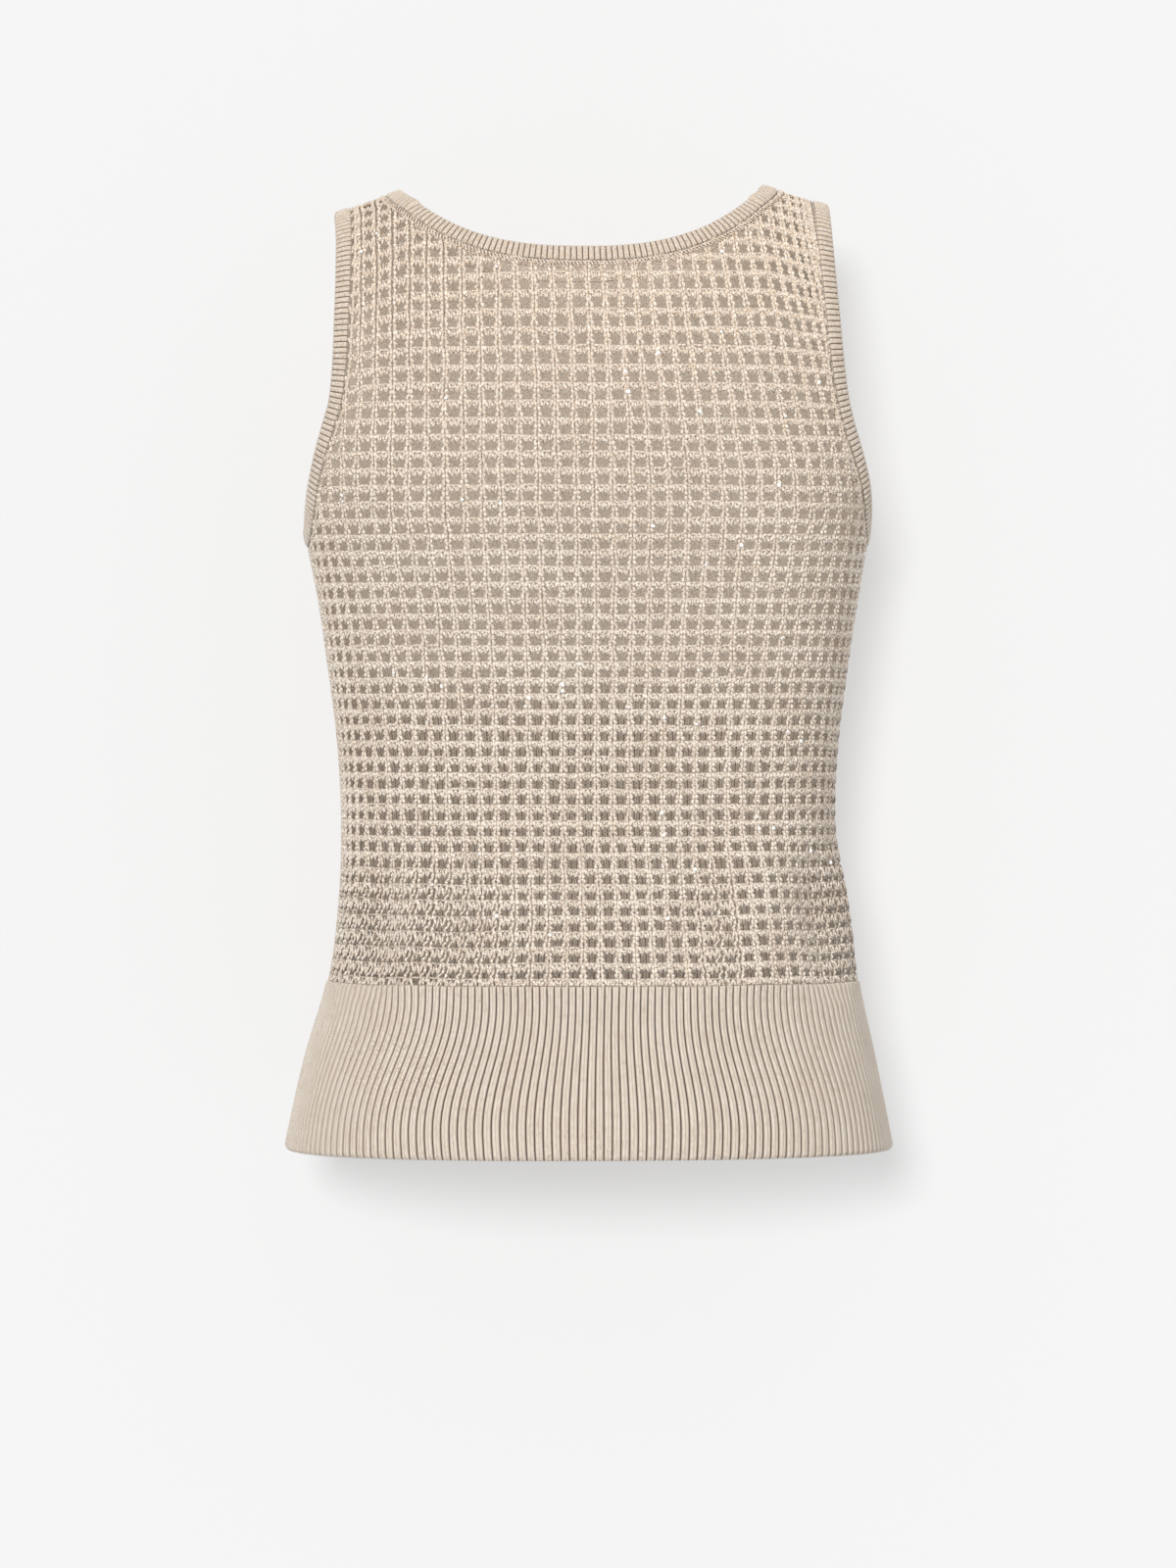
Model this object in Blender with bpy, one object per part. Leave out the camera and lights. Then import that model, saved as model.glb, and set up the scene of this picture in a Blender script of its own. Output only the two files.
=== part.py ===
"""Sleeveless openwork knit top in its worn, filled-out shape, hollow and open at neck, armholes and hem.

The back faces -Y and the front +Y, +X is the wearer's right and +Z is up, in metres. The origin is
where the straps rest on the shoulders. Every piece is a wall on one form: flattened round sections,
closed over the shoulders by a dome. A place on the form is an angle round the section, 0 at the
middle of the back or front and a quarter turn at the side, and a travel, 0 along the top of the
shoulders, a quarter turn where the dome ends, and on down from there.
"""

import math

import bmesh
import bpy
import numpy as np
from mathutils.geometry import delaunay_2d_cdt

BACK, FRONT = -1, 1
LEFT, RIGHT = -1, 1
QUARTER = math.pi / 2

# Walls and seams
SEAM_GAP = 0.0003
NET_WALL = 0.0020
RIB_WALL = 0.0024  # at the bottom of the grooves between the hem's ribs
RIB_RELIEF = 0.0011  # from a groove to the top of a rib
BAND_WALL = 0.0028
BAND_RELIEF = 0.0007
BAND_WIDTH = 0.0100
BAND_EDGE = 0.0009  # how far a band's rounded edge comes in from its rim

# The form: how far the shoulder dome drops, and how square the sections are (2 is an ellipse)
DOME_DROP = 0.150
SQUARENESS = 2.4
# The section table: the half widths and half depths at each drop below the shoulders
DROP, WIDE_LEFT, WIDE_RIGHT, DEEP_BACK, DEEP_FRONT = range(5)
SECTIONS = np.array(
    [
        (0.000, 0.1640, 0.1640, 0.089, 0.094),
        (0.060, 0.1600, 0.1600, 0.089, 0.097),
        (0.110, 0.1562, 0.1560, 0.089, 0.101),
        (0.160, 0.1584, 0.1576, 0.089, 0.105),
        (0.185, 0.1540, 0.1530, 0.088, 0.107),
        (0.212, 0.1485, 0.1485, 0.087, 0.105),
        (0.255, 0.1420, 0.1420, 0.085, 0.097),
        (0.300, 0.1365, 0.1365, 0.084, 0.090),
        (0.342, 0.1345, 0.1350, 0.084, 0.087),
        (0.385, 0.1360, 0.1402, 0.087, 0.089),
        (0.428, 0.1416, 0.1468, 0.092, 0.093),
        (0.471, 0.1540, 0.1560, 0.102, 0.099),
        (0.521, 0.1652, 0.1660, 0.111, 0.104),
    ]
)
YOKE_LEAN = -0.0035  # how far the shoulders sit off the middle of the body
YOKE_FADE = 0.200  # the drop at which they have come back to it

# The top of the shoulders falls from the neck to the arm, by the same steps out on both sides
RIDGE_NECK_X, RIDGE_ARM_X = 0.098, 0.137
RIDGE_NECK_Z = {LEFT: 0.0055, RIGHT: 0.0088}
RIDGE_ARM_Z = {LEFT: -0.0083, RIGHT: -0.0032}
RIDGE_REACH = 1.6  # how much further than from neck to arm the fall goes on
RIDGE_FADE = 0.130  # the drop at which the shoulders' fall no longer tilts the knitting's rows

# Where the net ends: its seams to the neck band, the armhole bands and the hem rib
NECK_X = 0.108
NECK_DROP = {BACK: 0.041, FRONT: 0.045}
NECK_SQUARENESS = 2.5
ARM_X = 0.1265
ARM_DROP = 0.190
ARM_SQUARENESS = 2.6
# How much further in an armhole is cut, in radians
ARM_SCOOP = {BACK: {LEFT: 0.0, RIGHT: 0.0}, FRONT: {LEFT: 0.02, RIGHT: -0.02}}
NET_DROP = 0.4275
HEM_DROP = 0.5205

# The net's largest folds: a line down the cloth from one place to another, as angles in degrees
# and drops, with the fold's half width and its height, which is below 0 for a trough.
FOLDS = (
    # face, top angle, top drop, bottom angle, bottom drop, half width, height
    (BACK, 25.0, 0.330, 19.0, 0.440, 0.013, -0.0052),
    (BACK, 38.0, 0.345, 36.0, 0.432, 0.015, 0.0042),
    (BACK, 55.0, 0.352, 56.0, 0.440, 0.016, -0.0048),
    (BACK, 74.0, 0.350, 74.0, 0.432, 0.017, 0.0030),
    (BACK, -4.0, 0.300, -6.0, 0.440, 0.014, -0.0026),
    (BACK, -33.0, 0.335, -30.0, 0.436, 0.014, -0.0050),
    (BACK, -42.0, 0.365, -43.0, 0.436, 0.011, 0.0034),
    (BACK, -54.0, 0.340, -54.0, 0.440, 0.014, -0.0046),
    (BACK, -55.0, 0.115, -22.0, 0.235, 0.026, 0.0032),
    (BACK, 40.0, 0.125, 44.0, 0.215, 0.024, 0.0024),
    (FRONT, 24.0, 0.335, 20.0, 0.440, 0.015, -0.0046),
    (FRONT, 52.0, 0.350, 54.0, 0.440, 0.016, -0.0040),
    (FRONT, -14.0, 0.320, -16.0, 0.440, 0.014, -0.0034),
    (FRONT, -46.0, 0.345, -44.0, 0.440, 0.015, -0.0044),
    (FRONT, -66.0, 0.190, -34.0, 0.265, 0.022, 0.0030),
    (FRONT, 62.0, 0.195, 30.0, 0.275, 0.022, 0.0028),
)
FOLD_RADIUS = 0.115  # the cloth's mean radius, which turns a fold's angles into widths
FOLD_FULLNESS = 0.7  # below 1, a fold comes up sooner at its ends

# How finely the walls are divided
ARM_STEPS = 25
SHOULDER_STEPS = 2
NECK_STEPS = 30
FOOT_STEPS = 28
SIDE_STEPS = 10
NET_COLUMN_TURN = 0.118  # between the net's points across, in radians
NET_ROW_TRAVEL = 0.158  # between its rows of points
EDGE_CLEARANCE = 0.7  # of those spacings, between a panel's edge and the points within it
INSIDE_ONLY = 1  # the triangulation keeps what lies within the outline
HEM_RIBS = 99
HEM_ROWS = 4
INNER_RIBS = 3  # the hem's plain inside has one point for this many ribs
BAND_RIBS_PER_STEP = 3
SEAM_TURN = 0.0019  # the turn that parts front from back by the seam's gap, at shoulders and sides
FINE_STEPS = 240  # of a curve that is then divided evenly
SMALL_TURN = 1e-4  # across which a slope is measured
SHARP_ANGLE = math.radians(40)

KNIT_COLOUR = (0.70, 0.61, 0.50, 1.0)
KNIT_ROUGHNESS = 0.9


def section_value(column, drop):
    """A column of the section table at any drop, on a smooth curve through its rows."""
    drops, values = SECTIONS[:, DROP], SECTIONS[:, column]
    slopes = np.gradient(values, drops)
    low = np.clip(np.searchsorted(drops, drop) - 1, 0, len(drops) - 2)
    step = drops[low + 1] - drops[low]
    share = (drop - drops[low]) / step
    rise = values[low + 1] - values[low]
    start, end = slopes[low] * step - rise, rise - slopes[low + 1] * step
    return values[low] + share * rise + share * (1 - share) * ((1 - share) * start + share * end)


def smooth(share):
    """0 up to 1, level at both ends."""
    share = np.clip(share, 0, 1)
    return share * share * (3 - 2 * share)


def drop_of(travel):
    return np.where(
        travel < QUARTER, DOME_DROP * (1 - np.cos(travel)), DOME_DROP * (1 + travel - QUARTER)
    )


def travel_of(drop):
    """The travel to a drop that is below the dome."""
    return QUARTER + drop / DOME_DROP - 1


def width_at(side, drop):
    return np.where(side < 0, section_value(WIDE_LEFT, drop), section_value(WIDE_RIGHT, drop))


def angle_at(x, travel):
    """The angle at which the section at this travel is x from the middle."""
    across = np.clip(np.abs(x) / width_at(x, drop_of(travel)), 0, 1)
    forward = (1 - across**SQUARENESS) ** (1 / SQUARENESS)
    return np.sign(x) * np.arctan2(across, forward)


def ridge(x):
    """The height of the top of the shoulders, carried on smoothly between the neck's two sides."""
    out = np.clip((np.abs(x) - RIDGE_NECK_X) / (RIDGE_ARM_X - RIDGE_NECK_X), 0, RIDGE_REACH)
    left = RIDGE_NECK_Z[LEFT] + out * (RIDGE_ARM_Z[LEFT] - RIDGE_NECK_Z[LEFT])
    right = RIDGE_NECK_Z[RIGHT] + out * (RIDGE_ARM_Z[RIGHT] - RIDGE_NECK_Z[RIGHT])
    middle = (RIDGE_NECK_Z[LEFT] + RIDGE_NECK_Z[RIGHT]) / 2
    return middle + smooth(np.abs(x) / RIDGE_NECK_X) * (np.where(x < 0, left, right) - middle)


def form(face, angle, travel):
    """Points on the plain form, with no folds."""
    drop = drop_of(travel)
    across, forward = np.sin(angle), np.cos(angle)
    reach = (np.abs(across) ** SQUARENESS + np.abs(forward) ** SQUARENESS) ** (-1 / SQUARENESS)
    depth = section_value(DEEP_BACK if face == BACK else DEEP_FRONT, drop)
    x = width_at(angle, drop) * across * reach
    y = face * depth * np.sin(np.minimum(travel, QUARTER)) * forward * reach
    z = ridge(x) * (1 - smooth(drop / RIDGE_FADE)) - drop
    x = x + YOKE_LEAN * (1 - smooth(drop / YOKE_FADE))
    return np.stack([x, y, z], axis=-1)


def outward(face, angle, travel):
    """The form's unit normals, away from the hollow."""
    across = form(face, angle + SMALL_TURN, travel) - form(face, angle - SMALL_TURN, travel)
    down = form(face, angle, travel + SMALL_TURN) - form(face, angle, travel - SMALL_TURN)
    normal = face * np.cross(across, down)
    return normal / np.linalg.norm(normal, axis=-1, keepdims=True)


def fold_height(face, angle, travel):
    """How far the folds lift the cloth off the plain form, or sink it."""
    drop, total = drop_of(travel), np.zeros(np.shape(angle))
    for on_face, top_angle, top, bottom_angle, bottom, half_width, height in FOLDS:
        if on_face == face:
            along = (drop - top) / (bottom - top)
            middle = np.radians(top_angle + np.clip(along, 0, 1) * (bottom_angle - top_angle))
            beside = (angle - middle) * FOLD_RADIUS / half_width
            length = np.sin(np.pi * np.clip(along, 0, 1)) ** FOLD_FULLNESS
            total = total + height * np.exp(-(beside**2)) * length
    return total


def cloth(face, angle, travel, height=0.0):
    """Points on the cloth's middle surface, moved out from it by height."""
    lift = fold_height(face, angle, travel) + height
    return form(face, angle, travel) + lift[..., None] * outward(face, angle, travel)


def evenly(face, angles, travels, steps):
    """The same line of places, divided into steps of equal length along the cloth."""
    points = form(face, angles, travels)
    lengths = np.linalg.norm(np.diff(points, axis=0), axis=1)
    along = np.concatenate([[0], np.cumsum(lengths)])
    at = np.linspace(0, along[-1], steps + 1)
    return np.interp(at, along, angles), np.interp(at, along, travels)


def corner_curve(turn, squareness):
    """A quarter of a flattened circle of size 1: how far across, and how far down."""
    across, down = np.sin(turn), np.cos(turn)
    reach = (np.abs(across) ** squareness + np.abs(down) ** squareness) ** (-1 / squareness)
    return across * reach, down * reach


def neck_line(face):
    """The seam of the neck band on one face, from the left shoulder to the right."""
    turn = np.linspace(-QUARTER, QUARTER, FINE_STEPS)
    across, down = corner_curve(turn, NECK_SQUARENESS)
    low = math.acos(1 - NECK_DROP[face] / DOME_DROP)
    travels = np.maximum(low * down, SEAM_TURN)
    return evenly(face, angle_at(NECK_X * across, travels), travels, NECK_STEPS)


def arm_line(face, side):
    """The seam of an armhole band on one face, from the side seam up to the shoulder."""
    turn = np.linspace(0, QUARTER, FINE_STEPS)
    across, down = corner_curve(turn, ARM_SQUARENESS)
    travels = np.maximum(travel_of(ARM_DROP) * down, SEAM_TURN)
    top_angle = angle_at(ARM_X, SEAM_TURN)
    scoop = ARM_SCOOP[face][side] * np.sin(np.pi * down) ** 2
    angles = QUARTER - (QUARTER - top_angle) * across - scoop
    return evenly(face, side * np.minimum(angles, QUARTER - SEAM_TURN), travels, ARM_STEPS)


def shoulder_line(side):
    """The shoulder seam, from the armhole to the neck."""
    x = np.linspace(ARM_X, NECK_X, SHOULDER_STEPS + 1) * side
    travels = np.full(len(x), SEAM_TURN)
    return angle_at(x, travels), travels


def girth_line(drop, face, steps):
    """A level line across one face, from side seam to side seam."""
    edge = QUARTER - SEAM_TURN
    angles = np.linspace(-edge, edge, FINE_STEPS)
    return evenly(face, angles, np.full(FINE_STEPS, travel_of(drop)), steps)


def joined(lines):
    """Lines that start where the last one ended, as one."""
    kept = [line if i == 0 else tuple(part[1:] for part in line) for i, line in enumerate(lines)]
    return tuple(np.concatenate(parts) for parts in zip(*kept))


def backwards(line):
    return tuple(part[::-1] for part in line)


class Wall:
    """A closed solid made of rows of points, each row joined to the next."""

    def __init__(self):
        self.points = []
        self.faces = []

    def row(self, points):
        start = len(self.points)
        self.points.extend(map(tuple, points))
        return list(range(start, len(self.points)))

    def join(self, first, second):
        """Faces between two rows. Where one is finer, each step of the other gets a fan."""
        if len(first) < len(second):
            first, second = second, first
        ratio = (len(first) - 1) // (len(second) - 1)
        for i in range(len(second) - 1):
            near, far, fine = second[i], second[i + 1], first[i * ratio : (i + 1) * ratio + 1]
            if ratio == 1:
                self.faces.append((fine[0], fine[1], far, near))
                continue
            middle = ratio // 2
            self.faces += [(fine[k], fine[k + 1], near) for k in range(middle)]
            self.faces.append((fine[middle], far, near))
            self.faces += [(fine[k], fine[k + 1], far) for k in range(middle, ratio)]

    def shell(self, outer, inner):
        """Outer and inner rows from top to bottom, joined into a closed wall with square edges."""
        rings = outer + inner[::-1]
        for i, ring in enumerate(rings):
            self.join(ring, rings[(i + 1) % len(rings)])
        for end in (0, -1):
            for upper, lower in zip(range(len(outer) - 1), range(1, len(outer))):
                self.faces.append(
                    (outer[upper][end], outer[lower][end], inner[lower][end], inner[upper][end])
                )

    def build(self, name):
        mesh = bpy.data.meshes.new(name)
        mesh.from_pydata(self.points, [], self.faces)
        body = bmesh.new()
        body.from_mesh(mesh)
        bmesh.ops.recalc_face_normals(body, faces=body.faces)
        body.to_mesh(mesh)
        body.free()
        mesh.shade_smooth()
        mesh.set_sharp_from_angle(angle=SHARP_ANGLE)
        piece = bpy.data.objects.new(name, mesh)
        bpy.context.scene.collection.objects.link(piece)
        piece.data.materials.append(knit_material(name))
        return piece


def knit_material(name):
    material = bpy.data.materials.new(f"{name}_knit")
    material.use_nodes = True
    shader = material.node_tree.nodes["Principled BSDF"]
    shader.inputs["Base Color"].default_value = KNIT_COLOUR
    shader.inputs["Roughness"].default_value = KNIT_ROUGHNESS
    shader.inputs["Metallic"].default_value = 0.0
    material.diffuse_color = KNIT_COLOUR
    return material


def side_line(side):
    """A side seam, from the underarm down to the hem rib."""
    travels = np.linspace(travel_of(ARM_DROP), travel_of(NET_DROP), SIDE_STEPS + 1)
    return np.full(len(travels), side * (QUARTER - SEAM_TURN)), travels


def net_outline(face):
    """A panel's closed outline: armhole, shoulder, neck, shoulder, armhole, side, foot and side."""
    line = joined(
        [
            arm_line(face, LEFT),
            shoulder_line(LEFT),
            neck_line(face),
            backwards(shoulder_line(RIGHT)),
            backwards(arm_line(face, RIGHT)),
            side_line(RIGHT),
            backwards(girth_line(NET_DROP, face, FOOT_STEPS)),
            backwards(side_line(LEFT)),
        ]
    )
    return np.stack(line, axis=1)[:-1]


def within(outline, places):
    """Whether each place lies inside an outline, by the edges that a ray from it crosses."""
    crossings = np.zeros(len(places), int)
    for (x1, y1), (x2, y2) in zip(outline, np.roll(outline, -1, axis=0)):
        spans = (y1 > places[:, 1]) != (y2 > places[:, 1])
        if y1 != y2:
            crossing = x1 + (places[:, 1] - y1) / (y2 - y1) * (x2 - x1)
            crossings += spans & (places[:, 0] < crossing)
    return crossings % 2 == 1


def net_places(outline):
    """Places spread over a panel in staggered rows, kept clear of its outline. Steps are 1."""
    rows = []
    columns, lowest = QUARTER / NET_COLUMN_TURN, outline[:, 1].max()
    for row, travel in enumerate(np.arange(0.5, lowest, 1.0)):
        across = np.arange(-columns + row % 2 / 2, columns, 1.0)
        rows.append(np.stack([across, np.full(len(across), travel)], axis=1))
    places = np.concatenate(rows)
    places = places[within(outline, places)]
    nearest = np.linalg.norm(places[:, None] - outline[None], axis=2).min(axis=1)
    return places[nearest > EDGE_CLEARANCE]


def net_panel(name, face):
    """A panel of the net, a wall over triangles that fill its outline."""
    steps = np.array([NET_COLUMN_TURN, NET_ROW_TRAVEL])
    outline = net_outline(face) / steps
    places = np.concatenate([outline, net_places(outline)])
    rim = list(range(len(outline)))
    _, _, triangles, origins, _, _ = delaunay_2d_cdt(
        [tuple(place) for place in places], [], [rim], INSIDE_ONLY, 1e-6
    )
    angles, travels = (places * steps).T
    wall = Wall()
    outer, inner = (
        wall.row(cloth(face, angles, travels, height)) for height in (NET_WALL / 2, -NET_WALL / 2)
    )
    for triangle in triangles:
        a, b, c = (origins[corner][0] for corner in triangle)
        wall.faces += [(outer[a], outer[b], outer[c]), (inner[c], inner[b], inner[a])]
    for here, there in zip(rim, rim[1:] + rim[:1]):
        wall.faces.append((outer[here], outer[there], inner[there], inner[here]))
    return wall.build(name)


def hem_rib(name, face):
    """The ribbed hem of one face: ribs raised on the outside, over a plain inside."""
    wall = Wall()
    outer, inner = [], []
    for drop in np.linspace(NET_DROP + SEAM_GAP, HEM_DROP, HEM_ROWS):
        angles, travels = girth_line(drop, face, 2 * HEM_RIBS)
        relief = RIB_RELIEF * (np.arange(len(angles)) % 2)
        outer.append(wall.row(cloth(face, angles, travels, RIB_WALL / 2 + relief)))
        plain = slice(None, None, 2 * INNER_RIBS)
        inner.append(wall.row(cloth(face, angles[plain], travels[plain], -RIB_WALL / 2)))
    wall.shell(outer, inner)
    return wall.build(name)


def band(name, line_points, line_normals):
    """A ribbed band that carries on past a closed edge of the net, from its points and normals."""
    along = np.roll(line_points, -1, axis=0) - np.roll(line_points, 1, axis=0)
    beyond = np.cross(along, line_normals)
    beyond /= np.linalg.norm(beyond, axis=1, keepdims=True)
    places = {
        # how far past the net's edge, and how high above the net's middle surface
        "seam inside": (SEAM_GAP, -NET_WALL / 2),
        "seam outside": (SEAM_GAP + BAND_EDGE, BAND_WALL - NET_WALL / 2),
        "rim outside": (BAND_WIDTH - BAND_EDGE, BAND_WALL - NET_WALL / 2),
        "rim": (BAND_WIDTH, BAND_WALL / 2 - NET_WALL / 2),
        "rim inside": (BAND_WIDTH - BAND_EDGE, -NET_WALL / 2),
    }
    wall = Wall()
    rows = []
    for place, (past, height) in places.items():
        points = line_points + past * beyond + height * line_normals
        if place.endswith("outside"):
            points = ribbed(points, line_normals)
        ring = wall.row(points)
        rows.append(ring + ring[:1])
    for i, ring in enumerate(rows):
        wall.join(ring, rows[(i + 1) % len(rows)])
    return wall.build(name)


def ribbed(points, normals):
    """Points along a closed line, divided more finely so that every other one is raised."""
    parts = 2 * BAND_RIBS_PER_STEP
    following = np.roll(points, -1, axis=0)
    fine = []
    for part in range(parts):
        share = part / parts
        fine.append(points + share * (following - points) + BAND_RELIEF * (part % 2) * normals)
    return np.stack(fine, axis=1).reshape(-1, 3)


def closed_edge(lines):
    """The points and normals of a closed line made of stretches on both faces.

    Each stretch is (face, line) and ends on the seam where the next one starts.
    """
    points = np.concatenate([cloth(face, *line)[:-1] for face, line in lines])
    normals = np.concatenate([outward(face, *line)[:-1] for face, line in lines])
    return points, normals


def neck_band(name):
    return band(
        name, *closed_edge([(BACK, backwards(neck_line(BACK))), (FRONT, neck_line(FRONT))])
    )


def armhole_band(name, side):
    up, down = (FRONT, BACK) if side == RIGHT else (BACK, FRONT)
    return band(
        name, *closed_edge([(up, backwards(arm_line(up, side))), (down, arm_line(down, side))])
    )


def main():
    for old in list(bpy.data.objects):
        bpy.data.objects.remove(old)
    net_panel("back_panel", BACK)
    net_panel("front_panel", FRONT)
    hem_rib("back_hem_rib", BACK)
    hem_rib("front_hem_rib", FRONT)
    neck_band("neck_band")
    armhole_band("armhole_band_left", LEFT)
    armhole_band("armhole_band_right", RIGHT)


main()
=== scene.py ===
"""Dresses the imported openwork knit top: yarn by yarn for the net back, stitch by stitch elsewhere.

Everything lies on the form that the part's source uses: a face, an angle round the section and a
travel down from the shoulders. The knitting is laid out on it in columns and rows.
"""

import math

import bpy
import numpy as np
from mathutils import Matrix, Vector
from mathutils.geometry import delaunay_2d_cdt


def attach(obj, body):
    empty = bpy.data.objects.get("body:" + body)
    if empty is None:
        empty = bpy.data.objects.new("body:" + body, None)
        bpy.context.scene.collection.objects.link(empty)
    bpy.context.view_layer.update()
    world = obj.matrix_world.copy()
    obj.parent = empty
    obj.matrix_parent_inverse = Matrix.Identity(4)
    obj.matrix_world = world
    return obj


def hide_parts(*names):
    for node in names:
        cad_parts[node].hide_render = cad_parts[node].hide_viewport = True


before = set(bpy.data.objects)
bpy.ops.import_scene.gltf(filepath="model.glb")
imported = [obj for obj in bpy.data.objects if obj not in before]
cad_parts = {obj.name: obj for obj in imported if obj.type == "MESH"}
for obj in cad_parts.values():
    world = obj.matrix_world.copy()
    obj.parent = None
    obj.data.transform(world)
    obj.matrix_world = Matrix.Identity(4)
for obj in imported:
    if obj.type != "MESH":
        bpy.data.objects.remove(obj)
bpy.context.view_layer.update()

BACK, FRONT = -1, 1
LEFT, RIGHT = -1, 1
QUARTER = math.pi / 2
TURN = 2 * math.pi

# The form, with the same sizes as the part's source, in metres
DOME_DROP = 0.150
SQUARENESS = 2.4
DROP, WIDE_LEFT, WIDE_RIGHT, DEEP_BACK, DEEP_FRONT = range(5)
SECTIONS = np.array(
    [
        (0.000, 0.1640, 0.1640, 0.089, 0.094),
        (0.060, 0.1600, 0.1600, 0.089, 0.097),
        (0.110, 0.1562, 0.1560, 0.089, 0.101),
        (0.160, 0.1584, 0.1576, 0.089, 0.105),
        (0.185, 0.1540, 0.1530, 0.088, 0.107),
        (0.212, 0.1485, 0.1485, 0.087, 0.105),
        (0.255, 0.1420, 0.1420, 0.085, 0.097),
        (0.300, 0.1365, 0.1365, 0.084, 0.090),
        (0.342, 0.1345, 0.1350, 0.084, 0.087),
        (0.385, 0.1360, 0.1402, 0.087, 0.089),
        (0.428, 0.1416, 0.1468, 0.092, 0.093),
        (0.471, 0.1540, 0.1560, 0.102, 0.099),
        (0.521, 0.1652, 0.1660, 0.111, 0.104),
    ]
)
YOKE_LEAN = -0.0035
YOKE_FADE = 0.200
RIDGE_NECK_X, RIDGE_ARM_X = 0.098, 0.137
RIDGE_NECK_Z = {LEFT: 0.0055, RIGHT: 0.0088}
RIDGE_ARM_Z = {LEFT: -0.0083, RIGHT: -0.0032}
RIDGE_REACH = 1.6
RIDGE_FADE = 0.130
NECK_X = 0.108
NECK_DROP = {BACK: 0.041, FRONT: 0.045}
NECK_SQUARENESS = 2.5
ARM_X = 0.1265
ARM_DROP = 0.190
ARM_SQUARENESS = 2.6
ARM_SCOOP = {BACK: {LEFT: 0.0, RIGHT: 0.0}, FRONT: {LEFT: 0.02, RIGHT: -0.02}}
NET_DROP = 0.4275
HEM_DROP = 0.5205
SEAM_GAP = 0.0003
SEAM_TURN = 0.0019
NET_WALL = 0.0020
RIB_WALL = 0.0024

FOLDS = (
    # face, top angle, top drop, bottom angle, bottom drop, half width, height
    (BACK, 25.0, 0.330, 19.0, 0.440, 0.013, -0.0052),
    (BACK, 38.0, 0.345, 36.0, 0.432, 0.015, 0.0042),
    (BACK, 55.0, 0.352, 56.0, 0.440, 0.016, -0.0048),
    (BACK, 74.0, 0.350, 74.0, 0.432, 0.017, 0.0030),
    (BACK, -4.0, 0.300, -6.0, 0.440, 0.014, -0.0026),
    (BACK, -33.0, 0.335, -30.0, 0.436, 0.014, -0.0050),
    (BACK, -42.0, 0.365, -43.0, 0.436, 0.011, 0.0034),
    (BACK, -54.0, 0.340, -54.0, 0.440, 0.014, -0.0046),
    (BACK, -55.0, 0.115, -22.0, 0.235, 0.026, 0.0032),
    (BACK, 40.0, 0.125, 44.0, 0.215, 0.024, 0.0024),
    (FRONT, 24.0, 0.335, 20.0, 0.440, 0.015, -0.0046),
    (FRONT, 52.0, 0.350, 54.0, 0.440, 0.016, -0.0040),
    (FRONT, -14.0, 0.320, -16.0, 0.440, 0.014, -0.0034),
    (FRONT, -46.0, 0.345, -44.0, 0.440, 0.015, -0.0044),
    (FRONT, -66.0, 0.190, -34.0, 0.265, 0.022, 0.0030),
    (FRONT, 62.0, 0.195, 30.0, 0.275, 0.022, 0.0028),
)
FOLD_RADIUS = 0.115
FOLD_FULLNESS = 0.7
FINE_STEPS = 240
SMALL_TURN = 1e-4

# The knitting: 40 net columns to a panel, and the height of a row at each drop
HALF_COLUMNS = 20
TABLE_COLUMNS = np.linspace(-HALF_COLUMNS, HALF_COLUMNS, 4 * HALF_COLUMNS + 1)
PER_COLUMN = 2  # of the table's steps to a column
ALMOST = 0.001  # what keeps a place off the table's last row and column
ROW_DROPS = (0.0, 0.03, 0.06, 0.12, 0.20, 0.43)
ROW_HEIGHTS = (0.0090, 0.0096, 0.0099, 0.0093, 0.0088, 0.0086)
BACK_ROWS_AT_CENTRE = 44
HEM_RIBS = 99

# The cords of the net: two yarns each, in column widths and row heights unless in metres
CORD_POINTS = 12  # to a row
CORD_HALF = 0.087
CORD_OPENING = 0.055  # how far its yarns part once a row
OPENING_AT = 0.42
OPENING_SPREAD = 0.008
CORD_YARN = 0.00102
CORD_LIFT = 0.00045
STITCHES_PER_ROW = 3  # where a yarn swells and narrows
STITCH_SWELL = 0.20
STITCH_SWAY = 0.020
# Where the holes are pressed shut, a cord's yarns part, zigzag, sink and narrow
PRESSED_PART = 0.09
PRESSED_ZIGZAG = 0.13
PRESSED_SINK = 0.0010
PRESSED_THIN = 0.18

# The bars of the net: a level yarn over a toothed one
BARS_AT = -0.5  # where the lowest bar starts, counted from the seam with the hem
BAR_TOP_YARN = 0.00082
BAR_TOOTH_YARN = 0.00096
TOP_SINK = 0.0008
TOP_THIN = -0.4
TOOTH_SWELL = 0.05
TOOTH_GROWTH = 1.05  # how much longer the teeth are where the holes are pressed shut
# How much painted shade a yarn takes at its sides
CORD_SHADE = 0.70
BAR_SHADE = 0.50
PRESSED_SHADE = 1.0  # more where the holes are pressed shut
CLOSED_UP = (
    # middle column, half width in columns, middle drop, half height, how far the holes close
    (-13.0, 8.5, 0.402, 0.036, 0.75),
    (17.2, 4.2, 0.395, 0.052, 0.8),
    (19.0, 2.6, 0.325, 0.075, 0.8),
    (7.0, 1.1, 0.405, 0.038, 0.7),
    (-13.0, 6.0, 0.000, 0.080, 0.65),
    (13.0, 6.0, -0.010, 0.050, 0.5),
)
ZIGZAG_BELOW = 0.2  # the drop below which pressed cords bend to and fro
# How far out the cords start at the shoulder, as a share of where they run below LEAN_DROP
STRAP_LEAN = {LEFT: 0.96, RIGHT: 0.80}
LEAN_DROP = 0.170
SPLIT_DROPS = (0.189, 0.313)  # where the net is parted into three pieces

rng = np.random.default_rng(11)


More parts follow.
